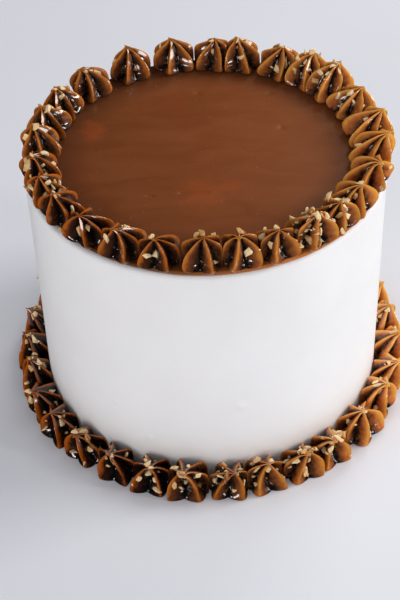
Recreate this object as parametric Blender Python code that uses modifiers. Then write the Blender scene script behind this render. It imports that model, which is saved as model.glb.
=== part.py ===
"""A one-tier wedding cake: a white iced cylinder, a poured caramel top, and two rings of piped caramel stars
with chopped nuts on them. Metres, +Z up. The origin is the centre of the underside, and the front is -Y."""

import math
import random
from dataclasses import dataclass

import bmesh
import bpy
from mathutils import Euler, Vector
from mathutils.bvhtree import BVHTree

# The iced cake: a 6 inch round
CAKE_RADIUS = 0.076
CAKE_HEIGHT = 0.1157
CAKE_TOP_EDGE = 0.002
CAKE_FOOT_EDGE = 0.0006

# The poured caramel, which was spread a little off the centre, towards the front right
CARAMEL_RADIUS = 0.0739
CARAMEL_THICKNESS = 0.0018
CARAMEL_EDGE = 0.0009
CARAMEL_SHIFT = 0.0017
CARAMEL_SHIFT_AZIMUTH = math.radians(-60)

# Pieces that touch keep this much clear of each other
GAP = 0.0003
MERGE_DISTANCE = 0.00001

# Fineness of the round pieces and of the stars
ROUND_STEPS = 72
EDGE_STEPS = 2
STAR_SIDES = 12
STAR_LEVELS = (0.0, 0.24, 0.5, 0.74, 0.92)
STAR_SHARP = math.radians(28)

# A piped star has six crests, with hollows between them that deepen above its foot
CRESTS = 6
FOOT_HOLLOW = 0.28
BODY_HOLLOW = 0.7
HOLLOW_REACHED = 0.25
FOOT_CREST_POWER = 1.25
BODY_CREST_POWER = 0.7
TUCK_REACHED = 0.28
PLUMPNESS = 3.4
TIP_POWER = 1.5
SIDEWAYS_SPREAD = 1.25
LEAN_POWER = 2.5
WALL_SOFTNESS = 0.0008
WEDGE_SHARPNESS = 8

# How far one star differs from the next. A crest faces 30 degrees off outward, more or less
RADIUS_RANGE = (0.94, 1.07)
HEIGHT_RANGE = (0.9, 1.1)
CREST_FACING = 30
CREST_FACING_SPREAD = 14
TWIST_SPREAD = 16
LEAN_OUT_SPREAD = 0.0022
LEAN_SIDE_SPREAD = 0.002

# Chopped nuts: half the length of a chip, then its width and thickness as shares of its length
NUT_HALF_LENGTH = (0.0016, 0.0029)
NUT_WIDTH = (0.5, 0.75)
NUT_THICKNESS = (0.42, 0.62)
NUT_ROUGHNESS = (0.8, 1.15)
NUT_TILT = 0.5
NUT_RAISED = 0.2
NUT_SHARES = (0.3, 0.93)
NUT_TRIES = 40
CLUSTER_GAIN = 1.6
SLOPE_STEP = 0.01
CRUMB_AZIMUTH = math.radians(188)
CRUMB_HEIGHT = 0.0615
CRUMB_HALF_LENGTH = 0.0014

CAKE_LOOK = ("white_icing", (0.86, 0.85, 0.84), 0.55)
TOP_LOOK = ("poured_caramel", (0.17, 0.052, 0.018), 0.32)
STAR_LOOK = ("piped_caramel", (0.36, 0.115, 0.022), 0.25)
NUT_LOOK = ("chopped_nut", (0.72, 0.47, 0.19), 0.5)


@dataclass
class Ring:
    """One ring of piped stars. Angles are in degrees. Drifts are waves round the ring, each (waves a turn, size,
    phase): of the places, of the stars' size as a share, and of how far they lean outward."""

    name: str
    count: int
    first_azimuth: float
    drifts: tuple
    size_drifts: tuple
    lean_drifts: tuple
    jitter: float
    seed: int
    radius: float
    foot: float
    wall: float
    star_radius: float
    star_height: float
    foot_tuck: float
    lean_out: float
    nuts: float
    nut_clusters: tuple
    nut_spread: float


CARAMEL_BOTTOM = CAKE_HEIGHT + GAP
CARAMEL_TOP = CARAMEL_BOTTOM + CARAMEL_THICKNESS

TOP_RING = Ring(
    name="top_star",
    count=27,
    first_azimuth=11.2,
    drifts=((1, 4.9, 196), (3, 2.3, 72)),
    size_drifts=((1, 0.07, -15),),
    lean_drifts=((2, 0.0008, 0), (1, 0.0003, 90)),
    jitter=2.5,
    seed=85298,
    radius=0.0690,
    foot=CARAMEL_TOP + GAP,
    wall=0.0,
    star_radius=0.0100,
    star_height=0.0130,
    foot_tuck=0.16,
    lean_out=0.0039,
    nuts=1.0,
    nut_clusters=((303, 18), (190, 30), (38, 25)),
    nut_spread=180,
)
BASE_RING = Ring(
    name="base_star",
    count=30,
    first_azimuth=273.3,
    drifts=((1, 1.2, 276),),
    size_drifts=(),
    lean_drifts=(),
    jitter=1.5,
    seed=9222,
    radius=0.0802,
    foot=0.0,
    wall=CAKE_RADIUS + GAP,
    star_radius=0.0110,
    star_height=0.0165,
    foot_tuck=0.0,
    lean_out=0.0072,
    nuts=1.4,
    nut_clusters=((302, 22), (205, 35)),
    nut_spread=120,
)


@dataclass
class Star:
    """One piped star. Azimuths and the two sides of its wedge are in radians about the cake's axis."""

    name: str
    ring: Ring
    azimuth: float
    side_before: float
    side_after: float
    radius: float
    height: float
    crest_phase: float
    twist: float
    lean_out: float
    lean_side: float


def clear_scene():
    for item in list(bpy.data.objects):
        bpy.data.objects.remove(item, do_unlink=True)


def new_collection(name):
    collection = bpy.data.collections.new(name)
    bpy.context.scene.collection.children.link(collection)
    return collection


def new_material(look):
    name, colour, roughness = look
    found = bpy.data.materials.get(name)
    if found:
        return found
    made = bpy.data.materials.new(name)
    made.use_nodes = True
    shader = made.node_tree.nodes["Principled BSDF"]
    shader.inputs["Base Color"].default_value = (*colour, 1.0)
    shader.inputs["Roughness"].default_value = roughness
    shader.inputs["Metallic"].default_value = 0.0
    return made


def new_object(name, shape, collection, look):
    mesh = bpy.data.meshes.new(name)
    shape.to_mesh(mesh)
    shape.free()
    mesh.materials.append(new_material(look))
    item = bpy.data.objects.new(name, mesh)
    collection.objects.link(item)
    return item


def edge_arc(radius, height, size, upwards):
    """Points of a quarter circle at the rim (radius, height), from the flat face to the side or back again."""
    points = []
    for step in range(EDGE_STEPS + 1):
        angle = math.pi / 2 * step / EDGE_STEPS
        across = radius - size + size * math.sin(angle)
        along = height - size + size * math.cos(angle)
        points.append((across, along))
    if upwards:
        return points
    return [(across, 2 * height - along) for across, along in reversed(points)]


def turned(name, profile, collection, look):
    """A solid of revolution about Z, from a profile that runs down its outer side."""
    shape = bmesh.new()
    corners = [shape.verts.new((across, 0.0, along)) for across, along in profile]
    for first, second in zip(corners, corners[1:]):
        shape.edges.new((first, second))
    item = new_object(name, shape, collection, look)
    screw = item.modifiers.new("turn", "SCREW")
    screw.axis = "Z"
    screw.steps = ROUND_STEPS
    screw.render_steps = ROUND_STEPS
    screw.use_merge_vertices = True
    screw.merge_threshold = MERGE_DISTANCE
    screw.use_smooth_shade = True
    return item


def make_cake(collection):
    profile = [(0.0, CAKE_HEIGHT)]
    profile += edge_arc(CAKE_RADIUS, CAKE_HEIGHT, CAKE_TOP_EDGE, upwards=True)
    profile += edge_arc(CAKE_RADIUS, 0.0, CAKE_FOOT_EDGE, upwards=False)
    profile.append((0.0, 0.0))
    return turned("cake_body", profile, collection, CAKE_LOOK)


def make_caramel(collection):
    profile = [(0.0, CARAMEL_THICKNESS)]
    profile += edge_arc(CARAMEL_RADIUS, CARAMEL_THICKNESS, CARAMEL_EDGE, upwards=True)
    profile += edge_arc(CARAMEL_RADIUS, 0.0, CARAMEL_EDGE / 2, upwards=False)
    profile.append((0.0, 0.0))
    disc = turned("caramel_top", profile, collection, TOP_LOOK)
    disc.location = (
        CARAMEL_SHIFT * math.cos(CARAMEL_SHIFT_AZIMUTH),
        CARAMEL_SHIFT * math.sin(CARAMEL_SHIFT_AZIMUTH),
        CARAMEL_BOTTOM,
    )


def drifted(angle, drifts):
    """The sum of some waves round a ring."""
    return sum(size * math.cos(waves * angle - math.radians(phase)) for waves, size, phase in drifts)


def ring_azimuths(ring):
    """The stars' azimuths in radians: even steps, with the drift and the unevenness of a hand at work."""
    chance = random.Random(ring.seed)
    azimuths = []
    for index in range(ring.count):
        turn = index / ring.count
        azimuth = ring.first_azimuth + 360 * turn + chance.uniform(-ring.jitter, ring.jitter)
        azimuths.append(math.radians(azimuth + drifted(math.tau * turn, ring.drifts)))
    return azimuths


def ring_stars(ring):
    azimuths = ring_azimuths(ring)
    stars = []
    for index, azimuth in enumerate(azimuths):
        before = (azimuth - azimuths[index - 1]) % (2 * math.pi)
        after = (azimuths[(index + 1) % ring.count] - azimuth) % (2 * math.pi)
        chance = random.Random(100 * ring.seed + index)
        size = 1 + drifted(azimuth, ring.size_drifts)
        lean = ring.lean_out + drifted(azimuth, ring.lean_drifts)
        stars.append(
            Star(
                name=f"{ring.name}_{index + 1:02d}",
                ring=ring,
                azimuth=azimuth,
                side_before=before / 2,
                side_after=after / 2,
                radius=ring.star_radius * size * chance.uniform(*RADIUS_RANGE),
                height=ring.star_height * chance.uniform(*HEIGHT_RANGE),
                crest_phase=math.radians(
                    CREST_FACING + chance.uniform(-CREST_FACING_SPREAD, CREST_FACING_SPREAD)
                ),
                twist=math.radians(chance.uniform(-TWIST_SPREAD, TWIST_SPREAD)),
                lean_out=lean + chance.uniform(-LEAN_OUT_SPREAD, LEAN_OUT_SPREAD),
                lean_side=chance.uniform(-LEAN_SIDE_SPREAD, LEAN_SIDE_SPREAD),
            )
        )
    return stars


def blend(share):
    """A smooth step from 0 to 1."""
    share = min(max(share, 0.0), 1.0)
    return share * share * (3 - 2 * share)


def squeezed(angle, limit):
    """The angle kept smoothly inside the limit, as a soft star gives way to its neighbour."""
    amount = abs(angle) / limit
    kept = amount / (1 + amount**WEDGE_SHARPNESS) ** (1 / WEDGE_SHARPNESS)
    return math.copysign(kept * limit, angle)


def star_point(star, angle, share):
    """The point of a star's surface at an angle about its own axis and a share of its height."""
    formed = blend(share / HOLLOW_REACHED)
    hollow = FOOT_HOLLOW + (BODY_HOLLOW - FOOT_HOLLOW) * formed
    power = FOOT_CREST_POWER + (BODY_CREST_POWER - FOOT_CREST_POWER) * formed
    turned_by = angle - star.crest_phase - star.twist * share
    wave = (math.asin(abs(math.sin(CRESTS / 2 * turned_by))) * 2 / math.pi) ** power
    tucked = 1 - star.ring.foot_tuck * max(0.0, 1 - share / TUCK_REACHED) ** 2
    reach = star.radius * tucked * (1 - share**PLUMPNESS) ** TIP_POWER * (1 - hollow * wave)
    lean = share**LEAN_POWER
    outward = star.ring.radius + star.lean_out * lean + reach * math.cos(angle)
    sideways = star.lean_side * lean + SIDEWAYS_SPREAD * reach * math.sin(angle)
    distance = math.hypot(outward, sideways)
    past_wall = distance - star.ring.wall
    distance = star.ring.wall + (past_wall + math.hypot(past_wall, WALL_SOFTNESS)) / 2
    swing = math.atan2(sideways, outward)
    side = star.side_after if swing > 0 else star.side_before
    azimuth = star.azimuth + squeezed(swing, side - GAP / 2 / distance)
    height = star.ring.foot + star.height * share
    return Vector((distance * math.cos(azimuth), distance * math.sin(azimuth), height))


def make_star(star, collection):
    """A ball of rings, each ring laid at one level of the star, the lowest point at the middle of its foot."""
    shape = bmesh.new()
    bmesh.ops.create_uvsphere(
        shape, u_segments=STAR_SIDES, v_segments=len(STAR_LEVELS) + 1, radius=1.0
    )
    rings = len(STAR_LEVELS) + 1
    for vertex in shape.verts:
        row = round((1 - math.acos(max(-1.0, min(1.0, vertex.co.z))) / math.pi) * rings)
        angle = math.atan2(vertex.co.y, vertex.co.x) + star.crest_phase
        if row == 0:
            middle = star_point(star, 0.0, 0.0) + star_point(star, math.pi, 0.0)
            vertex.co = middle / 2
        elif row == rings:
            vertex.co = star_point(star, angle, 1.0)
        else:
            share = STAR_LEVELS[row - 1]
            vertex.co = star_point(star, angle + star.twist * share, share)
    item = new_object(star.name, shape, collection, STAR_LOOK)
    item.data.shade_smooth()
    item.data.set_sharp_from_angle(angle=STAR_SHARP)
    return item


def nut_count(star, chance):
    """More chips lie where a handful of nuts fell."""
    expected = star.ring.nuts
    for azimuth, width in star.ring.nut_clusters:
        away = (math.degrees(star.azimuth) - azimuth + 180) % 360 - 180
        expected *= 1 + CLUSTER_GAIN * math.exp(-((away / width) ** 2))
    return int(expected + chance.random())


def clear_of_neighbours(star, centre, half_length):
    distance = math.hypot(centre.x, centre.y)
    swing = math.atan2(centre.y, centre.x) - star.azimuth
    swing = (swing + math.pi) % (2 * math.pi) - math.pi
    room = GAP + half_length
    room_angle = room / distance
    clear_before = swing - room_angle > -star.side_before
    clear_after = swing + room_angle < star.side_after
    above_foot = centre.z - half_length > star.ring.foot + GAP
    return clear_before and clear_after and above_foot and distance - room > star.ring.wall


def place_nut(star, placed, chance):
    """Centre, outward direction and half length of a chip that lies on the star, clear of those placed already,
    or None where it has no room."""
    for _ in range(NUT_TRIES):
        half_length = chance.uniform(*NUT_HALF_LENGTH)
        angle = math.radians(chance.uniform(-star.ring.nut_spread, star.ring.nut_spread))
        share = chance.uniform(*NUT_SHARES)
        spot = star_point(star, angle, share)
        around = star_point(star, angle + SLOPE_STEP, share) - spot
        upward = star_point(star, angle, share + SLOPE_STEP) - spot
        outward = around.cross(upward).normalized()
        centre = spot + outward * half_length * NUT_RAISED
        apart = all((centre - other).length > half_length + reach for other, _, reach in placed)
        if apart and clear_of_neighbours(star, centre, half_length):
            return centre, outward, half_length
    return None


def pressed_on(item, place):
    """The same place, with the chip's centre brought to the faceted surface of the star that it lies on."""
    centre, outward, half_length = place
    points = [vertex.co for vertex in item.data.vertices]
    faces = [face.vertices for face in item.data.polygons]
    nearest = BVHTree.FromPolygons(points, faces).find_nearest(centre)[0]
    return nearest + outward * half_length * NUT_RAISED, outward, half_length


def make_nut(name, centre, outward, half_length, chance, collection):
    """A chip: a coarse ball, flattened, with its corners knocked about, lying flat on the surface."""
    shape = bmesh.new()
    bmesh.ops.create_icosphere(shape, subdivisions=1, radius=half_length)
    width = chance.uniform(*NUT_WIDTH)
    thickness = chance.uniform(*NUT_THICKNESS)
    tilt = chance.uniform(-NUT_TILT, NUT_TILT)
    roll = chance.uniform(-NUT_TILT, NUT_TILT)
    spin = Euler((tilt, roll, chance.uniform(0, math.tau)))
    for vertex in shape.verts:
        vertex.co *= chance.uniform(*NUT_ROUGHNESS)
        vertex.co.y *= width
        vertex.co.z *= thickness
        vertex.co.rotate(spin)
        vertex.co.rotate(outward.to_track_quat("Z", "Y"))
        vertex.co += centre
    return new_object(name, shape, collection, NUT_LOOK)


def fuse(item, collection):
    """Joins the collection's objects to the item in one solid, and removes them."""
    union = item.modifiers.new("nuts", "BOOLEAN")
    union.operation = "UNION"
    union.operand_type = "COLLECTION"
    union.collection = collection
    union.material_mode = "TRANSFER"
    with bpy.context.temp_override(object=item, active_object=item, selected_objects=[item]):
        for modifier in list(item.modifiers):
            bpy.ops.object.modifier_apply(modifier=modifier.name)
    for chip in list(collection.objects):
        bpy.data.objects.remove(chip, do_unlink=True)


def add_nuts(star, item, chips):
    places = random.Random(f"{star.name} places")
    shapes = random.Random(f"{star.name} shapes")
    placed = []
    for index in range(nut_count(star, places)):
        place = place_nut(star, placed, places)
        if place:
            placed.append(place)
            make_nut(f"nut_{index}", *pressed_on(item, place), shapes, chips)
    if placed:
        fuse(item, chips)


def add_crumb(cake, chips):
    """The one chip that stuck to the icing, on the cake's left side."""
    outward = Vector((math.cos(CRUMB_AZIMUTH), math.sin(CRUMB_AZIMUTH), 0.0))
    centre = outward * (CAKE_RADIUS + CRUMB_HALF_LENGTH * NUT_RAISED)
    centre.z = CRUMB_HEIGHT
    make_nut("crumb", centre, outward, CRUMB_HALF_LENGTH, random.Random("crumb"), chips)
    fuse(cake, chips)


def build():
    clear_scene()
    parts = new_collection("wedding_cake")
    chips = new_collection("nut_chips")
    add_crumb(make_cake(parts), chips)
    make_caramel(parts)
    for ring in (TOP_RING, BASE_RING):
        for star in ring_stars(ring):
            add_nuts(star, make_star(star, parts), chips)
    bpy.data.collections.remove(chips)


build()
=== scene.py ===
"""The looks of a one-tier wedding cake: white icing, a poured caramel top, and two rings of piped caramel
stars with chopped nuts. Metres, +Z up. The front, which the camera faces, is -Y."""

import math
import random
from dataclasses import dataclass

import bmesh
import bpy
from mathutils import Euler, Matrix, Vector, noise


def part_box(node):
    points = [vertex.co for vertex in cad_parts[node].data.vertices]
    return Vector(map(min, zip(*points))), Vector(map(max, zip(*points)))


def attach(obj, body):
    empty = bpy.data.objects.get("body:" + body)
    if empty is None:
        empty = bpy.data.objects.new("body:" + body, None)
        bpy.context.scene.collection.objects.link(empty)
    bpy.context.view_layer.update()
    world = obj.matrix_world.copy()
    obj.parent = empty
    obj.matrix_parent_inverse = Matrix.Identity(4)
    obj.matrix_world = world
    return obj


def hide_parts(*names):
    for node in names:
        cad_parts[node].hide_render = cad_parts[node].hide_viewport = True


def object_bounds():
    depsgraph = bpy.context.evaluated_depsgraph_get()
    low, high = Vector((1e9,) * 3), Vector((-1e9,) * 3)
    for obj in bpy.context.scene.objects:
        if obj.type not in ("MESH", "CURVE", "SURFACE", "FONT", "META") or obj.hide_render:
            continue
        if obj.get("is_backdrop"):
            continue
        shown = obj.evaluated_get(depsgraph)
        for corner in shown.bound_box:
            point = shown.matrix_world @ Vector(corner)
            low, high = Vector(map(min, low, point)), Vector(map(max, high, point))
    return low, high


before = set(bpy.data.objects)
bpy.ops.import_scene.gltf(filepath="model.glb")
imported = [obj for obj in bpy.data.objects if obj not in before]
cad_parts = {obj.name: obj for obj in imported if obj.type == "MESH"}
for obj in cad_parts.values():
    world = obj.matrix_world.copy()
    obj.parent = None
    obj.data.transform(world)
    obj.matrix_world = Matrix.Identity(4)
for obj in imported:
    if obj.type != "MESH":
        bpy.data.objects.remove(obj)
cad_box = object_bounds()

# Sizes that the frame gives
CAKE_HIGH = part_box("cake_body")[1]
CARAMEL_LOW, CARAMEL_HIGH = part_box("caramel_top")
CAKE_RADIUS = CAKE_HIGH.x
CAKE_HEIGHT = CAKE_HIGH.z
CARAMEL_CENTRE = (CARAMEL_LOW + CARAMEL_HIGH) / 2
CARAMEL_RADIUS = (CARAMEL_HIGH.x - CARAMEL_LOW.x) / 2
CARAMEL_TOP = CARAMEL_HIGH.z
CARAMEL_BOTTOM = CARAMEL_LOW.z

# Edges and gaps, as the solids have them
CAKE_TOP_EDGE = 0.002
CAKE_FOOT_EDGE = 0.0006
CARAMEL_EDGE = 0.0009
GAP = 0.0003
FINE_GAP = 0.0001
MERGED_WITHIN = 0.000001
MM_A_METRE = 1000

# A piped star's form, as the solids have it
CRESTS = 6
FOOT_HOLLOW = 0.28
BODY_HOLLOW = 0.7
HOLLOW_REACHED = 0.25
FOOT_CREST_POWER = 1.25
BODY_CREST_POWER = 0.7
TUCK_REACHED = 0.28
PLUMPNESS = 3.4
TIP_POWER = 1.5
SIDEWAYS_SPREAD = 1.25
LEAN_POWER = 2.5
WALL_SOFTNESS = 0.0008
WEDGE_SHARPNESS = 8
RADIUS_RANGE = (0.94, 1.07)
HEIGHT_RANGE = (0.9, 1.1)
CREST_FACING = 30
CREST_FACING_SPREAD = 14
TWIST_SPREAD = 16
LEAN_OUT_SPREAD = 0.0022
LEAN_SIDE_SPREAD = 0.002

# What only the fine stars have: columns that crowd towards each crest, and a tip that curls over
COLUMNS_A_SIDE = 6
COLUMN_POWER = 1.7
STAR_ROWS = 34
CURL_FROM = 0.8
CURL_LENGTH = (0.0004, 0.003)
CURL_DROP = 0.55
NIB_RADIUS = 0.0008
CURL_WAY_SPREAD = 55
CREST_UNEVENNESS = 0.07

# The crests' painted glow: the width of its line at the tip and at the foot, how it fades off the crest, and
# how much of the colour comes from the flank instead. Then how far one star's tone strays at random from the
# ring's
CREST_LINE = (0.00055, 0.0014)
LINE_POWER = 1.5
FADE_POWER = 1.5
GLOW_AT_FOOT = 0.5
GLOW_REACHED = 0.5
FLANK = 0.4
PALE_SPREAD = 0.05

# Chopped nuts, placed as the solids have them
NUT_HALF_LENGTH = (0.0016, 0.0029)
NUT_WIDTH = (0.5, 0.75)
NUT_THICKNESS = (0.42, 0.62)
NUT_TILT = 0.5
NUT_RAISED = 0.2
NUT_SHARES = (0.3, 0.93)
NUT_TRIES = 40
CLUSTER_GAIN = 1.6
SLOPE_STEP = 0.01
CRUMB_AZIMUTH = math.radians(188)
CRUMB_HEIGHT = 0.0615
CRUMB_HALF_LENGTH = 0.0014

# A chip's corners: how many are thrown, and how far out each one lies. Then its blunt edges and its tone
CHIP_CORNERS = 11
CORNER_REACH = (0.85, 1.12)
CHIP_EDGE = 0.00008
CHIP_SHARP = math.radians(20)
TONE_MEAN = 0.36
TONE_SPREAD = 0.34

# The small bits of nut that the solids leave out. At the foot some lie between the stars and the wall
BIT_HALF_LENGTH = (0.0008, 0.0032)
BIT_WIDTH = (0.32, 0.65)
BIT_SHARES = (0.08, 0.95)
BIT_SPREAD = 180
BIT_CLOSENESS = 0.6
BITS_A_NUT = 2.2
BITS_AT_WALL = 1.6
WALL_BIT_SHARES = (0.55, 0.85)
WALL_BIT_SPREAD = 60
WALL_BIT_CLOSENESS = 0.4
TOWARDS_WALL = 180
BIT_CLUSTERS = {
    "top_star": ((300, 10, 9.0), (315, 12, 2.5), (188, 30, 2.5), (38, 22, 5.0)),
    "base_star": ((302, 20, 3.0), (205, 35, 1.5), (262, 22, 1.5)),
}

# Fineness of the icing and of the caramel
ICING_COLUMNS = 400
ICING_ROWS = 140
CARAMEL_COLUMNS = 300
CARAMEL_ROWS = 150

# The waves of the icing, each with its cycles a metre: slow ones, the scraper's upright ones, and pits
SLOW_WAVE = 0.00016
SLOW_CYCLES = (28, 28, 16)
UPRIGHT_WAVE = 0.00006
UPRIGHT_CYCLES = (90, 90, 9)
PIT_DEPTH = 0.0005
PIT_CYCLES = (240, 240, 240)
PIT_RARITY = 0.62

# The unevenness of the caramel: how far its radius strays, in the outer fifth of it, and its waves
POOL_UNEVENNESS = 0.006
EDGE_CYCLES = 2.6
UNEVEN_FROM = 0.8
UNEVEN_OVER = 0.2
POOL_WAVE = 0.00006
POOL_CYCLES = (34, 52, 0)

# The small dents in the caramel: place, radius and length, in millimetres. The long one is a drag mark
DENT_DEPTH = 0.00035
CARAMEL_DENTS = (
    (-2.0, 45.0, 1.6, 0.0),
    (33.0, 17.0, 1.3, 0.0),
    (-5.3, -25.8, 0.8, 11.0),
    (-23.2, -27.0, 0.8, 1.5),
    (29.7, 43.1, 0.7, 1.5),
)

# The small smears on the iced side: azimuth in degrees, height and radius in millimetres
SMEAR_HEIGHT = 0.0006
ICING_SMEARS = (
    (258.8, 69.9, 0.9),
    (277.9, 43.6, 1.8),
    (248.3, 21.5, 0.9),
    (246.3, 109.4, 1.3),
    (236.3, 37.4, 1.4),
)

# The range that a material's noise mostly keeps to
NOISE_RANGE = (0.3, 0.7)

# The reddish spots of the caramel: place and reach, in metres, then how ragged and how strong they are
SPOT_RAGGEDNESS = 1.6
SPOT_STRENGTH = 0.45
REDDISH_SPOTS = (((-0.002, -0.026), 0.013), ((0.010, -0.022), 0.006), ((-0.048, 0.020), 0.009))

# The camera of the photograph: its focal length in the photograph's pixels, and where it looks from
PHOTO_HEIGHT = 600
FOCAL_PIXELS = 1433.18
SENSOR = 36
CAMERA_ELEVATION = 0.739451696
CAMERA_ROLL = -0.0371268613
CAMERA_AIM = Vector((-0.00454, 0.0, 0.03523))
CAMERA_DISTANCE = 0.65564

# The stage
FLOOR_HALF = 3.0
WORLD_COLOUR = (0.93, 0.95, 1.0, 1.0)
WORLD_STRENGTH = 0.39

# The lights: name, azimuth, elevation, distance, width, height, watts, colour, and whether it is mirrored
LIGHTS = (
    ("key", 8, 30, 1.9, 0.8, 0.8, 18, (1.0, 0.985, 0.965), True),
    ("right_window", -20, 22, 1.2, 0.12, 0.2, 2.0, (1.0, 0.99, 0.98), True),
    ("front_window", 318, 12, 1.2, 0.08, 0.14, 0.8, (1.0, 0.99, 0.98), True),
    ("front", 252, 14, 1.5, 1.2, 0.6, 2.9, (1.0, 0.99, 0.98), False),
    ("left_window", 232, 14, 1.2, 0.2, 0.32, 2.8, (1.0, 0.95, 0.93), True),
    ("far_right", 62, 42, 1.4, 0.5, 0.4, 3.6, (1.0, 0.99, 0.97), True),
)


@dataclass
class Ring:
    """One ring of piped stars. Angles are in degrees. Drifts are waves round the ring, each (waves a turn,
    size, phase): of the places, of the stars' size as a share, of how far they lean outward, and of how pale
    they are, which is painted light and shade: lighter towards the cake's right and darker on its left."""

    name: str
    count: int
    first_azimuth: float
    drifts: tuple
    size_drifts: tuple
    lean_drifts: tuple
    jitter: float
    seed: int
    radius: float
    foot: float
    wall: float
    star_radius: float
    star_height: float
    foot_tuck: float
    lean_out: float
    nuts: float
    nut_clusters: tuple
    nut_spread: float
    # The ring's mean tone with painted light, and the waves of painted light and shade round the ring
    tone_and_painted_light: float
    painted_light_drifts: tuple


TOP_RING = Ring(
    name="top_star",
    count=27,
    first_azimuth=11.2,
    drifts=((1, 4.9, 196), (3, 2.3, 72)),
    size_drifts=((1, 0.07, -15),),
    lean_drifts=((2, 0.0008, 0), (1, 0.0003, 90)),
    jitter=2.5,
    seed=85298,
    radius=0.0690,
    foot=CARAMEL_TOP + GAP,
    wall=0.0,
    star_radius=0.0100,
    star_height=0.0130,
    foot_tuck=0.16,
    lean_out=0.0039,
    nuts=1.0,
    nut_clusters=((303, 18), (190, 30), (38, 25)),
    nut_spread=180,
    tone_and_painted_light=0.33,
    painted_light_drifts=((1, 0.36, 5), (2, 0.13, -9)),
)
BASE_RING = Ring(
    name="base_star",
    count=30,
    first_azimuth=273.3,
    drifts=((1, 1.2, 276),),
    size_drifts=(),
    lean_drifts=(),
    jitter=1.5,
    seed=9222,
    radius=0.0802,
    foot=0.0,
    wall=CAKE_RADIUS + GAP,
    star_radius=0.0110,
    star_height=0.0165,
    foot_tuck=0.0,
    lean_out=0.0072,
    nuts=1.4,
    nut_clusters=((302, 22), (205, 35)),
    nut_spread=120,
    tone_and_painted_light=0.36,
    painted_light_drifts=((1, 0.56, 6), (2, 0.11, 0)),
)


@dataclass
class Star:
    """One piped star. Azimuths and the two sides of its wedge are in radians about the cake's axis."""

    name: str
    ring: Ring
    azimuth: float
    side_before: float
    side_after: float
    radius: float
    height: float
    crest_phase: float
    twist: float
    lean_out: float
    lean_side: float


def drifted(angle, drifts):
    """The sum of some waves round a ring."""
    return sum(size * math.cos(waves * angle - math.radians(phase)) for waves, size, phase in drifts)


def ring_azimuths(ring):
    """The stars' azimuths in radians: even steps, with the drift and the unevenness of a hand at work."""
    chance = random.Random(ring.seed)
    azimuths = []
    for index in range(ring.count):
        turn = index / ring.count
        azimuth = ring.first_azimuth + 360 * turn + chance.uniform(-ring.jitter, ring.jitter)
        azimuths.append(math.radians(azimuth + drifted(math.tau * turn, ring.drifts)))
    return azimuths


def ring_stars(ring):
    azimuths = ring_azimuths(ring)
    stars = []
    for index, azimuth in enumerate(azimuths):
        before = (azimuth - azimuths[index - 1]) % (2 * math.pi)
        after = (azimuths[(index + 1) % ring.count] - azimuth) % (2 * math.pi)
        chance = random.Random(100 * ring.seed + index)
        size = 1 + drifted(azimuth, ring.size_drifts)
        lean = ring.lean_out + drifted(azimuth, ring.lean_drifts)
        stars.append(
            Star(
                name=f"{ring.name}_{index + 1:02d}",
                ring=ring,
                azimuth=azimuth,
                side_before=before / 2,
                side_after=after / 2,
                radius=ring.star_radius * size * chance.uniform(*RADIUS_RANGE),
                height=ring.star_height * chance.uniform(*HEIGHT_RANGE),
                crest_phase=math.radians(
                    CREST_FACING + chance.uniform(-CREST_FACING_SPREAD, CREST_FACING_SPREAD)
                ),
                twist=math.radians(chance.uniform(-TWIST_SPREAD, TWIST_SPREAD)),
                lean_out=lean + chance.uniform(-LEAN_OUT_SPREAD, LEAN_OUT_SPREAD),
                lean_side=chance.uniform(-LEAN_SIDE_SPREAD, LEAN_SIDE_SPREAD),
            )
        )
    return stars


def blend(share):
    """A smooth step from 0 to 1."""
    share = min(max(share, 0.0), 1.0)
    return share * share * (3 - 2 * share)


def squeezed(angle, limit):
    """The angle kept smoothly inside the limit, as a soft star gives way to its neighbour."""
    amount = abs(angle) / limit
    kept = amount / (1 + amount**WEDGE_SHARPNESS) ** (1 / WEDGE_SHARPNESS)
    return math.copysign(kept * limit, angle)


def star_point(star, angle, share, gap=GAP, unevenness=1.0, nib=0.0, curl=(0.0, 0.0)):
    """The point of a star's surface at an angle about its own axis and a share of its height."""
    formed = blend(share / HOLLOW_REACHED)
    hollow = FOOT_HOLLOW + (BODY_HOLLOW - FOOT_HOLLOW) * formed
    power = FOOT_CREST_POWER + (BODY_CREST_POWER - FOOT_CREST_POWER) * formed
    turned_by = angle - star.crest_phase - star.twist * share
    wave = (math.asin(abs(math.sin(CRESTS / 2 * turned_by))) * 2 / math.pi) ** power
    tucked = 1 - star.ring.foot_tuck * max(0.0, 1 - share / TUCK_REACHED) ** 2
    reach = star.radius * tucked * (1 - share**PLUMPNESS) ** TIP_POWER * (1 - hollow * wave)
    reach = math.hypot(reach * unevenness, nib * math.sqrt(1 - share) * share)
    lean = share**LEAN_POWER
    outward = star.ring.radius + star.lean_out * lean + reach * math.cos(angle) + curl[0]
    sideways = star.lean_side * lean + SIDEWAYS_SPREAD * reach * math.sin(angle) + curl[1]
    distance = math.hypot(outward, sideways)
    past_wall = distance - star.ring.wall
    distance = star.ring.wall + (past_wall + math.hypot(past_wall, WALL_SOFTNESS)) / 2
    swing = math.atan2(sideways, outward)
    side = star.side_after if swing > 0 else star.side_before
    azimuth = star.azimuth + squeezed(swing, side - gap / 2 / distance)
    height = star.ring.foot + star.height * share
    return Vector((distance * math.cos(azimuth), distance * math.sin(azimuth), height))


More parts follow.
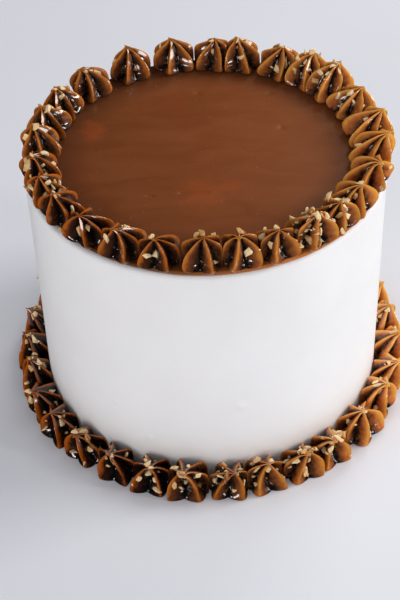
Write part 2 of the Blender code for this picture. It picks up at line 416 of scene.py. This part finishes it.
def mesh_piece(name, points, faces, material, values=None):
    """A new smooth object from points and faces, riding on the cake's one body. values names numbers, one for
    each point, which the material reads."""
    mesh = bpy.data.meshes.new(name)
    mesh.from_pydata(points, [], faces)
    for value_name, numbers in (values or {}).items():
        mesh.attributes.new(value_name, "FLOAT", "POINT").data.foreach_set("value", numbers)
    shape = bmesh.new()
    shape.from_mesh(mesh)
    bmesh.ops.remove_doubles(shape, verts=shape.verts, dist=MERGED_WITHIN)
    shape.to_mesh(mesh)
    shape.free()
    mesh.materials.append(material)
    mesh.shade_smooth()
    piece = bpy.data.objects.new(name, mesh)
    bpy.context.scene.collection.objects.link(piece)
    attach(piece, "root")
    return piece


def grid_faces(columns, rows):
    """Faces of rows of points, each row a closed loop, with the outer side to the right of a rising row."""
    faces = []
    for row in range(rows - 1):
        for column in range(columns):
            after = (column + 1) % columns
            low = row * columns
            high = low + columns
            faces.append((low + column, low + after, high + after, high + column))
    return faces


# Materials


def new_material(name, **values):
    """A material, its node tree and its shader, with the values that are the same all over the surface."""
    material = bpy.data.materials.new(name)
    material.use_nodes = True
    tree = material.node_tree
    shader = tree.nodes["Principled BSDF"]
    for socket, value in values.items():
        shader.inputs[socket.replace("_", " ")].default_value = value
    return material, tree, shader


def add_node(tree, kind, inputs, **settings):
    made = tree.nodes.new("ShaderNode" + kind)
    for name, value in settings.items():
        setattr(made, name, value)
    for socket, value in inputs.items():
        if isinstance(value, bpy.types.NodeSocket):
            tree.links.new(value, made.inputs[socket])
        else:
            made.inputs[socket].default_value = value
    return made


def pattern(tree, scale, detail=3.0, stretch=(1.0, 1.0, 1.0), distortion=0.0):
    """Noise over the object's own coordinates, in cycles a metre, made finer or coarser along an axis by
    stretch."""
    place = add_node(tree, "TexCoord", {}).outputs["Object"]
    stretched = add_node(tree, "Mapping", {"Vector": place, "Scale": stretch}).outputs["Vector"]
    inputs = {"Vector": stretched, "Scale": scale, "Detail": detail, "Distortion": distortion}
    return add_node(tree, "TexNoise", inputs).outputs["Fac"]


def ranged(tree, value, low, high, to_low=0.0, to_high=1.0):
    inputs = {"Value": value, "From Min": low, "From Max": high, "To Min": to_low, "To Max": to_high}
    return add_node(tree, "MapRange", inputs).outputs["Result"]


def mixed(tree, share, first, second):
    """A colour between two others, either of them a colour or a socket."""
    made = add_node(tree, "Mix", {0: share}, data_type="RGBA")
    for socket, value in ((made.inputs[6], first), (made.inputs[7], second)):
        if isinstance(value, bpy.types.NodeSocket):
            tree.links.new(value, socket)
        else:
            socket.default_value = (*value, 1.0)
    return made.outputs[2]


def summed(tree, first, second, share):
    """first + second * share"""
    inputs = {0: second, 1: share, 2: first}
    return add_node(tree, "Math", inputs, operation="MULTIPLY_ADD").outputs[0]


def distance_from(tree, place, spot):
    """How far a place is from a spot (x, y) on the caramel."""
    inputs = {0: place, 1: (*spot, CARAMEL_TOP)}
    return add_node(tree, "VectorMath", inputs, operation="DISTANCE").outputs["Value"]


def bumped(tree, shader, height, distance, strength=1.0):
    inputs = {"Height": height, "Distance": distance, "Strength": strength}
    made = add_node(tree, "Bump", inputs)
    tree.links.new(made.outputs["Normal"], shader.inputs["Normal"])


def icing_material():
    """Buttercream drawn smooth: faint upright marks, a fine grain and a few pale and warm clouds."""
    material, tree, shader = new_material("white_icing", Specular_IOR_Level=0.35)
    shader.inputs["Subsurface Weight"].default_value = 0.4
    shader.inputs["Subsurface Radius"].default_value = (1.0, 0.9, 0.8)
    shader.inputs["Subsurface Scale"].default_value = 0.006
    clouds = ranged(tree, pattern(tree, 22, 3), *NOISE_RANGE)
    colour = mixed(tree, clouds, (0.87, 0.86, 0.855), (0.92, 0.915, 0.915))
    tree.links.new(colour, shader.inputs["Base Color"])
    grain = pattern(tree, 700, 4)
    tree.links.new(ranged(tree, grain, *NOISE_RANGE, 0.48, 0.62), shader.inputs["Roughness"])
    marks = pattern(tree, 160, 3, stretch=(1.0, 1.0, 0.1))
    bumped(tree, shader, summed(tree, marks, grain, 0.25), 0.00012, 0.6)
    return material


def pool_material():
    """Poured caramel with a satin shine: long spreading marks, redder clouds and spots, and pale specks.
    Painted shade makes it darker to the left and near the stars, painted light makes it lighter to the right,
    and its thin edge is painted dark on the left and painted lit on the right."""
    material, tree, shader = new_material("poured_caramel", Specular_IOR_Level=0.2)
    shader.inputs["Specular Tint"].default_value = (1.0, 0.68, 0.38, 1.0)
    strokes = pattern(tree, 34, 4, stretch=(1.0, 2.6, 1.0), distortion=0.8)
    clouds = pattern(tree, 30, 2)
    colour = mixed(
        tree, ranged(tree, strokes, *NOISE_RANGE), (0.195, 0.052, 0.014), (0.238, 0.064, 0.018)
    )
    redder = ranged(tree, clouds, 0.6, 0.78, 0.0, 0.5)
    colour = mixed(tree, redder, colour, (0.25, 0.052, 0.013))
    place = add_node(tree, "TexCoord", {}).outputs["Object"]
    across = add_node(tree, "SeparateXYZ", {0: place}).outputs["X"]
    # Painted shade darkens the caramel towards the left, and painted light makes it lighter towards the
    # right.
    colour = mixed(tree, ranged(tree, across, -0.07, 0.0, 0.3, 0.0), colour, (0.085, 0.030, 0.010))
    colour = mixed(tree, ranged(tree, across, 0.0, 0.07, 0.0, 0.35), colour, (0.36, 0.105, 0.030))
    off_axis = distance_from(tree, place, (0, 0))
    # Painted shade: the caramel is darker close to the stars, as where they shade it.
    painted_shade_by_stars = ranged(tree, off_axis, 0.049, 0.063, 0.0, 0.65)
    colour = mixed(tree, painted_shade_by_stars, colour, (0.060, 0.022, 0.010))
    # The thin edge is painted light and shade: dark on the left and pale orange on the right.
    painted_light_to_right = ranged(tree, across, -0.03, 0.03)
    painted_edge_light_and_shade = mixed(tree, painted_light_to_right, (0.10, 0.032, 0.011), (0.60, 0.190, 0.042))
    colour = mixed(tree, ranged(tree, off_axis, 0.0712, 0.0745, 0.0, 0.85), colour, painted_edge_light_and_shade)
    specks = ranged(tree, pattern(tree, 800, 1), 0.72, 0.8, 0.0, 0.7)
    colour = mixed(tree, specks, colour, (0.40, 0.13, 0.03))
    ragged = pattern(tree, 190, 4)
    for spot, reach in REDDISH_SPOTS:
        uneven = summed(tree, distance_from(tree, place, spot), ragged, -SPOT_RAGGEDNESS * reach)
        near = ranged(tree, uneven, -0.5 * reach, 0.1 * reach, SPOT_STRENGTH, 0.0)
        colour = mixed(tree, near, colour, (0.34, 0.066, 0.014))
    tree.links.new(colour, shader.inputs["Base Color"])
    tree.links.new(ranged(tree, strokes, *NOISE_RANGE, 0.27, 0.4), shader.inputs["Roughness"])
    fine = pattern(tree, 420, 3)
    bumped(tree, shader, summed(tree, strokes, fine, 0.08), 0.0002, 0.5)
    return material


def star_material():
    """Piped caramel. Painted shade makes it nearly black in the hollows, and a painted glow makes it orange
    where a crest is thin. Painted light makes the stars lighter towards the cake's right and darker on its
    left, and each star's tone also strays a little at random."""
    material, tree, shader = new_material("piped_caramel", Specular_IOR_Level=0.9)
    shader.inputs["Specular Tint"].default_value = (1.0, 0.95, 0.9, 1.0)
    shader.inputs["Subsurface Weight"].default_value = 0.22
    shader.inputs["Subsurface Radius"].default_value = (1.0, 0.3, 0.08)
    shader.inputs["Subsurface Scale"].default_value = 0.0016
    # The crest value paints light and shade: near black painted shade in the hollows and a painted orange
    # glow along the thin crests.
    crest = add_node(tree, "Attribute", {}, attribute_name="crest").outputs["Fac"]
    mottled = pattern(tree, 420, 3)
    share = summed(tree, crest, ranged(tree, mottled, *NOISE_RANGE, -0.5, 0.5), 0.2)
    # Painted light: the stars' colours run from a dark set on the cake's left to a lit, lighter set on its
    # right.
    painted_light_share = add_node(tree, "Attribute", {}, attribute_name="pale").outputs["Fac"]
    hollow = mixed(tree, painted_light_share, (0.005, 0.005, 0.0055), (0.020, 0.012, 0.010))
    flank = mixed(tree, painted_light_share, (0.032, 0.010, 0.006), (0.74, 0.220, 0.055))
    painted_glow_colour = mixed(tree, painted_light_share, (0.42, 0.098, 0.009), (1.0, 0.49, 0.09))
    painted_shade_to_flank = mixed(tree, ranged(tree, share, 0.07, 0.38), hollow, flank)
    colour = mixed(tree, ranged(tree, share, 0.44, 0.82), painted_shade_to_flank, painted_glow_colour)
    tree.links.new(colour, shader.inputs["Base Color"])
    tree.links.new(ranged(tree, mottled, *NOISE_RANGE, 0.08, 0.18), shader.inputs["Roughness"])
    bumped(tree, shader, pattern(tree, 260, 3), 0.0003, 0.5)
    return material


def nut_material():
    """Chopped nut: cream where it is cut, tan or brown where skin or caramel covers it."""
    material, tree, shader = new_material("chopped_nut", Specular_IOR_Level=0.45)
    tone = add_node(tree, "Attribute", {}, attribute_name="tone").outputs["Fac"]
    grain = pattern(tree, 900, 4)
    share = summed(tree, tone, ranged(tree, grain, *NOISE_RANGE, -0.5, 0.5), 0.3)
    tan = mixed(tree, ranged(tree, share, 0.3, 0.75), (0.94, 0.71, 0.39), (0.66, 0.36, 0.12))
    colour = mixed(tree, ranged(tree, share, 0.75, 1.0), tan, (0.27, 0.085, 0.02))
    tree.links.new(colour, shader.inputs["Base Color"])
    tree.links.new(ranged(tree, grain, *NOISE_RANGE, 0.4, 0.6), shader.inputs["Roughness"])
    bumped(tree, shader, grain, 0.0002, 0.6)
    return material


def floor_material():
    material, tree, shader = new_material("pale_floor", Specular_IOR_Level=0.3)
    clouds = ranged(tree, pattern(tree, 3, 2), *NOISE_RANGE)
    tree.links.new(
        mixed(tree, clouds, (0.78, 0.79, 0.84), (0.82, 0.83, 0.88)), shader.inputs["Base Color"]
    )
    tree.links.new(ranged(tree, clouds, 0.0, 1.0, 0.55, 0.65), shader.inputs["Roughness"])
    return material


# Pieces


def edge_arc(radius, height, size, steps=6):
    """Points of a quarter circle at the rim (radius, height), from the side to the flat face."""
    points = []
    for step in range(steps + 1):
        angle = math.pi / 2 * step / steps
        points.append((radius - size + size * math.cos(angle), height - size + size * math.sin(angle)))
    return points


def lathe(columns, profile, place):
    """Points of a turned form. place(azimuth, radius, height) gives each one, with its small unevenness."""
    points = []
    for radius, height in profile:
        for column in range(columns):
            points.append(place(math.tau * column / columns, radius, height))
    return points


def noise_at(x, y, z, cycles):
    """Noise from -1 to 1 at a place, with its cycles a metre along each axis."""
    return noise.noise(Vector((x * cycles[0], y * cycles[1], z * cycles[2])))


def make_icing(material):
    """The iced cake, its side with the small waves, pits and smears that a scraper leaves."""
    side_low = CAKE_FOOT_EDGE
    side_high = CAKE_HEIGHT - CAKE_TOP_EDGE
    profile = [(0.0, 0.0)]
    for across, along in edge_arc(CAKE_RADIUS, 0.0, CAKE_FOOT_EDGE)[::-1]:
        profile.append((across, -along))
    for step in range(1, ICING_ROWS):
        profile.append((CAKE_RADIUS, side_low + (side_high - side_low) * step / ICING_ROWS))
    profile += edge_arc(CAKE_RADIUS, CAKE_HEIGHT, CAKE_TOP_EDGE)
    profile.append((0.0, CAKE_HEIGHT))

    def place(azimuth, radius, height):
        around = Vector((math.cos(azimuth), math.sin(azimuth), 0.0))
        if radius > CAKE_RADIUS - CAKE_FOOT_EDGE:
            spot = around * CAKE_RADIUS
            slow = noise_at(spot.x, spot.y, height, SLOW_CYCLES)
            upright = noise_at(spot.x, spot.y, height, UPRIGHT_CYCLES)
            pit = noise_at(spot.x, spot.y, height, PIT_CYCLES)
            radius += SLOW_WAVE * slow + UPRIGHT_WAVE * upright - PIT_DEPTH * max(0.0, pit - PIT_RARITY)
            for degrees, up, size in ICING_SMEARS:
                turn = (azimuth - math.radians(degrees) + math.pi) % math.tau - math.pi
                away = math.hypot(turn * CAKE_RADIUS * MM_A_METRE, height * MM_A_METRE - up)
                radius += SMEAR_HEIGHT * math.exp(-((away / size) ** 2))
        return (around.x * radius, around.y * radius, height)

    points = lathe(ICING_COLUMNS, profile, place)
    faces = grid_faces(ICING_COLUMNS, len(profile))
    icing = mesh_piece("icing", points, faces, material)
    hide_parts("cake_body")


def make_pool(material):
    """The caramel, with an edge that ran unevenly and the waves and dents that spreading left."""
    profile = [(0.0, CARAMEL_BOTTOM)]
    profile.append((CARAMEL_RADIUS - CARAMEL_EDGE / 2, CARAMEL_BOTTOM))
    profile += edge_arc(CARAMEL_RADIUS, CARAMEL_TOP, CARAMEL_EDGE)
    flat = CARAMEL_RADIUS - CARAMEL_EDGE
    for step in range(1, CARAMEL_ROWS + 1):
        profile.append((flat * (1 - step / CARAMEL_ROWS), CARAMEL_TOP))

    def place(azimuth, radius, height):
        around = Vector((math.cos(azimuth), math.sin(azimuth), 0.0))
        edge = noise.noise(around * EDGE_CYCLES)
        outer = blend((radius / CARAMEL_RADIUS - UNEVEN_FROM) / UNEVEN_OVER)
        radius *= 1 + POOL_UNEVENNESS * edge * outer
        spot = CARAMEL_CENTRE + around * radius
        if height == CARAMEL_TOP:
            waves = noise_at(spot.x, spot.y, 0.0, POOL_CYCLES)
            height += POOL_WAVE * (waves - 0.5)
            for across, along, size, length in CARAMEL_DENTS:
                past_end = max(0.0, abs(spot.x * MM_A_METRE - across) - length / 2)
                away = math.hypot(past_end, spot.y * MM_A_METRE - along)
                height -= DENT_DEPTH * math.exp(-((away / size) ** 2))
        return (spot.x, spot.y, height)

    points = lathe(CARAMEL_COLUMNS, profile, place)
    faces = grid_faces(CARAMEL_COLUMNS, len(profile))
    pool = mesh_piece("caramel_pool", points, faces, material)
    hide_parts("caramel_top")


def crest_angles():
    """(angle off the first crest, how near the angle is to a crest from 0 to 1), crowded at the crests."""
    half = math.pi / CRESTS
    columns = []
    for crest in range(CRESTS):
        for step in range(-COLUMNS_A_SIDE, COLUMNS_A_SIDE):
            away = abs(step / COLUMNS_A_SIDE) ** COLUMN_POWER
            angle = crest * 2 * half + math.copysign(away * half, step)
            columns.append((angle, 1 - away))
    return columns


def make_star(star, material):
    """The star again, finely: sharp crests, each a little longer or shorter, and a tip that curls over."""
    chance = random.Random(f"{star.name} fine")
    uneven = [1 + chance.uniform(-CREST_UNEVENNESS, CREST_UNEVENNESS) for _ in range(CRESTS)]
    curl_way = math.radians(chance.gauss(0, CURL_WAY_SPREAD))
    curl_length = chance.uniform(*CURL_LENGTH)
    columns = crest_angles()
    points = []
    painted_light_values = []
    for row in range(STAR_ROWS + 1):
        share = (1 - math.cos(math.pi * row / STAR_ROWS)) / 2
        curl = curl_length * max(0.0, (share - CURL_FROM) / (1 - CURL_FROM)) ** 2
        bent = (curl * math.cos(curl_way), curl * math.sin(curl_way))
        for angle, nearness in columns:
            step = angle / math.tau * CRESTS % CRESTS
            before = int(step)
            part = blend(step - before)
            stretch = uneven[before] * (1 - part) + uneven[(before + 1) % CRESTS] * part
            stretch = 1 + (stretch - 1) * (1 - share)
            about = angle + star.crest_phase + star.twist * share
            point = star_point(star, about, share, FINE_GAP, stretch, NIB_RADIUS, bent)
            point.z -= CURL_DROP * curl
            points.append(point)
            # Painted light and shade for the material: a glow along each crest, weaker at the foot, and shade
            # in the hollows.
            ridge = star.radius * (1 - share**PLUMPNESS) ** TIP_POWER
            off_crest = ridge * (1 - nearness) * math.pi / CRESTS
            line = CREST_LINE[0] + (CREST_LINE[1] - CREST_LINE[0]) * (1 - share) ** LINE_POWER
            glow = GLOW_AT_FOOT + (1 - GLOW_AT_FOOT) * blend(share / GLOW_REACHED)
            glow *= math.exp(-((off_crest / line) ** FADE_POWER))
            painted_light_values.append(FLANK * nearness + (1 - FLANK) * glow)
    count = len(columns)
    faces = grid_faces(count, STAR_ROWS + 1)
    faces.append(tuple(reversed(range(count))))
    # Painted light and shade: the drifts make the stars lighter towards the cake's right and darker on its
    # left. The random spread is each star's own tone.
    tone_and_painted_light = star.ring.tone_and_painted_light + drifted(star.azimuth, star.ring.painted_light_drifts)
    tone_and_painted_light += chance.uniform(-PALE_SPREAD, PALE_SPREAD)
    values = {"crest": painted_light_values, "pale": [tone_and_painted_light] * len(points)}
    piece = mesh_piece(f"piped_{star.name}", points, faces, material, values)
    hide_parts(star.name)


def nut_count(star, chance, expected, clusters):
    """More chips lie where a handful of nuts fell. Each cluster is (azimuth, width, how many times more)."""
    for azimuth, width, gain in clusters:
        away = (math.degrees(star.azimuth) - azimuth + 180) % 360 - 180
        expected *= 1 + gain * math.exp(-((away / width) ** 2))
    return int(expected + chance.random())


def clear_of_neighbours(star, centre, half_length, closeness):
    distance = math.hypot(centre.x, centre.y)
    swing = math.atan2(centre.y, centre.x) - star.azimuth
    swing = (swing + math.pi) % (2 * math.pi) - math.pi
    room = GAP + closeness * half_length
    room_angle = room / distance
    clear_before = swing - room_angle > -star.side_before
    clear_after = swing + room_angle < star.side_after
    above_foot = centre.z - half_length > star.ring.foot + GAP
    return clear_before and clear_after and above_foot and distance - room > star.ring.wall


def place_chip(star, placed, chance, half_lengths, shares, spread, closeness=1.0, turned=0.0):
    """Centre, outward direction and half length of a chip that lies on the star, clear of those placed
    already, or None where it has no room. It lies within the spread, in degrees, of the side that turned
    names: 0 is outward. A closeness under 1 lets it touch its neighbours."""
    for _ in range(NUT_TRIES):
        half_length = chance.uniform(*half_lengths)
        angle = math.radians(turned + chance.uniform(-spread, spread))
        share = chance.uniform(*shares)
        spot = star_point(star, angle, share)
        around = star_point(star, angle + SLOPE_STEP, share) - spot
        upward = star_point(star, angle, share + SLOPE_STEP) - spot
        outward = around.cross(upward).normalized()
        centre = spot + outward * half_length * NUT_RAISED
        apart = all(
            (centre - other).length > closeness * (half_length + reach) for other, _, reach in placed
        )
        if apart and clear_of_neighbours(star, centre, half_length, closeness):
            return centre, outward, half_length
    return None


def add_chip(shape, tones, place, chance, widths):
    """A broken bit of nut: the hull of a few points thrown on a flat ellipsoid, so its facets are sharp."""
    centre, outward, half_length = place
    width = chance.uniform(*widths)
    thickness = chance.uniform(*NUT_THICKNESS)
    tilt = chance.uniform(-NUT_TILT, NUT_TILT)
    roll = chance.uniform(-NUT_TILT, NUT_TILT)
    spin = Euler((tilt, roll, chance.uniform(0, math.tau)))
    facing = outward.to_track_quat("Z", "Y")
    tone = min(1.0, max(0.0, chance.gauss(TONE_MEAN, TONE_SPREAD)))
    thrown = []
    for _ in range(CHIP_CORNERS):
        point = Vector((chance.gauss(0, 1), chance.gauss(0, 1), chance.gauss(0, 1))).normalized()
        point *= half_length * chance.uniform(*CORNER_REACH)
        point.y *= width
        point.z *= thickness
        point.rotate(spin)
        point.rotate(facing)
        thrown.append(shape.verts.new(point + centre))
    made = bmesh.ops.convex_hull(shape, input=thrown)
    inside = [item for item in made["geom_interior"] if isinstance(item, bmesh.types.BMVert)]
    bmesh.ops.delete(shape, geom=inside, context="VERTS")
    for vertex in thrown:
        if vertex.is_valid:
            vertex[tones] = tone


def make_chips(name, places, material, widths):
    """All the chips of one kind as one piece, their edges slightly blunt."""
    shape = bmesh.new()
    tones = shape.verts.layers.float.new("tone")
    chance = random.Random(f"{name} shapes")
    for place in places:
        add_chip(shape, tones, place, chance, widths)
    edges = [edge for edge in shape.edges if edge.calc_face_angle(0.0) > CHIP_SHARP]
    bmesh.ops.bevel(
        shape, geom=edges, offset=CHIP_EDGE, segments=1, affect="EDGES", clamp_overlap=True
    )
    mesh = bpy.data.meshes.new(name)
    shape.to_mesh(mesh)
    shape.free()
    mesh.materials.append(material)
    piece = bpy.data.objects.new(name, mesh)
    bpy.context.scene.collection.objects.link(piece)
    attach(piece, "root")


def chip_places():
    """Where the chips lie, as in the solids, and then the smaller bits between them."""
    chips = []
    bits = []
    for ring in (TOP_RING, BASE_RING):
        for star in ring_stars(ring):
            chance = random.Random(f"{star.name} places")
            placed = []
            clusters = [(*cluster, CLUSTER_GAIN) for cluster in ring.nut_clusters]
            for _ in range(nut_count(star, chance, ring.nuts, clusters)):
                place = place_chip(star, placed, chance, NUT_HALF_LENGTH, NUT_SHARES, ring.nut_spread)
                if place:
                    placed.append(place)
            chips += placed
            chance = random.Random(f"{star.name} bits")
            small = list(placed)
            for _ in range(nut_count(star, chance, ring.nuts * BITS_A_NUT, BIT_CLUSTERS[ring.name])):
                place = place_chip(
                    star, small, chance, BIT_HALF_LENGTH, BIT_SHARES, BIT_SPREAD, BIT_CLOSENESS
                )
                if place:
                    small.append(place)
            for _ in range(int(BITS_AT_WALL + chance.random()) if ring is BASE_RING else 0):
                place = place_chip(
                    star,
                    small,
                    chance,
                    BIT_HALF_LENGTH,
                    WALL_BIT_SHARES,
                    WALL_BIT_SPREAD,
                    WALL_BIT_CLOSENESS,
                    TOWARDS_WALL,
                )
                if place:
                    small.append(place)
            bits += small[len(placed) :]
    outward = Vector((math.cos(CRUMB_AZIMUTH), math.sin(CRUMB_AZIMUTH), 0.0))
    centre = outward * (CAKE_RADIUS + CRUMB_HALF_LENGTH * NUT_RAISED)
    centre.z = CRUMB_HEIGHT
    chips.append((centre, outward, CRUMB_HALF_LENGTH))
    return chips, bits


# The stage


def make_camera():
    data = bpy.data.cameras.new("camera")
    data.sensor_width = SENSOR
    data.lens = FOCAL_PIXELS / PHOTO_HEIGHT * SENSOR
    camera = bpy.data.objects.new("camera", data)
    bpy.context.scene.collection.objects.link(camera)
    bpy.context.scene.camera = camera
    back = Vector((0, -math.cos(CAMERA_ELEVATION), math.sin(CAMERA_ELEVATION)))
    right = Vector((1, 0, 0))
    up = back.cross(right)
    rolled_right = math.cos(CAMERA_ROLL) * right + math.sin(CAMERA_ROLL) * up
    rolled_up = -math.sin(CAMERA_ROLL) * right + math.cos(CAMERA_ROLL) * up
    facing = Matrix((rolled_right, rolled_up, back)).transposed().to_4x4()
    facing.translation = CAMERA_AIM + back * CAMERA_DISTANCE
    camera.matrix_world = facing


def add_light(name, azimuth, elevation, distance, width, height, watts, colour, mirrored):
    """A soft rectangle of light, aimed at the cake. Azimuth 0 is +X, and 90 is away from the camera. One that
    isn't mirrored only fills the shadows."""
    data = bpy.data.lights.new(name, "AREA")
    data.shape = "RECTANGLE"
    data.size = width
    data.size_y = height
    data.energy = watts
    data.color = colour
    light = bpy.data.objects.new(name, data)
    bpy.context.scene.collection.objects.link(light)
    light.visible_glossy = mirrored
    around = math.radians(azimuth)
    above = math.radians(elevation)
    way = Vector(
        (math.cos(around) * math.cos(above), math.sin(around) * math.cos(above), math.sin(above))
    )
    light.location = way * distance + Vector((0, 0, CAKE_HEIGHT / 2))
    light.rotation_mode = "QUATERNION"
    light.rotation_quaternion = way.to_track_quat("Z", "Y")


def make_stage():
    mesh = bpy.data.meshes.new("floor")
    ways = ((-1, -1), (1, -1), (1, 1), (-1, 1))
    corners = [(x * FLOOR_HALF, y * FLOOR_HALF, -GAP) for x, y in ways]
    mesh.from_pydata(corners, [], [(0, 1, 2, 3)])
    mesh.materials.append(floor_material())
    floor = bpy.data.objects.new("floor", mesh)
    bpy.context.scene.collection.objects.link(floor)
    floor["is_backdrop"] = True
    floor.visible_glossy = False
    world = bpy.data.worlds.new("studio")
    world.use_nodes = True
    background = world.node_tree.nodes["Background"]
    background.inputs["Color"].default_value = WORLD_COLOUR
    background.inputs["Strength"].default_value = WORLD_STRENGTH
    world.cycles_visibility.glossy = False
    bpy.context.scene.world = world
    bpy.context.scene.view_settings.view_transform = "Standard"
    for light in LIGHTS:
        add_light(*light)


make_camera()
make_stage()
make_icing(icing_material())
make_pool(pool_material())
caramel = star_material()
for ring in (TOP_RING, BASE_RING):
    for star in ring_stars(ring):
        make_star(star, caramel)
chips, bits = chip_places()
nut = nut_material()
make_chips("nut_chips", chips, nut, NUT_WIDTH)
make_chips("nut_bits", bits, nut, BIT_WIDTH)

bpy.context.view_layer.update()
boxes = {"cad": cad_box, "visual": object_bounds()}
{name: [list(corner) for corner in box] for name, box in boxes.items()}
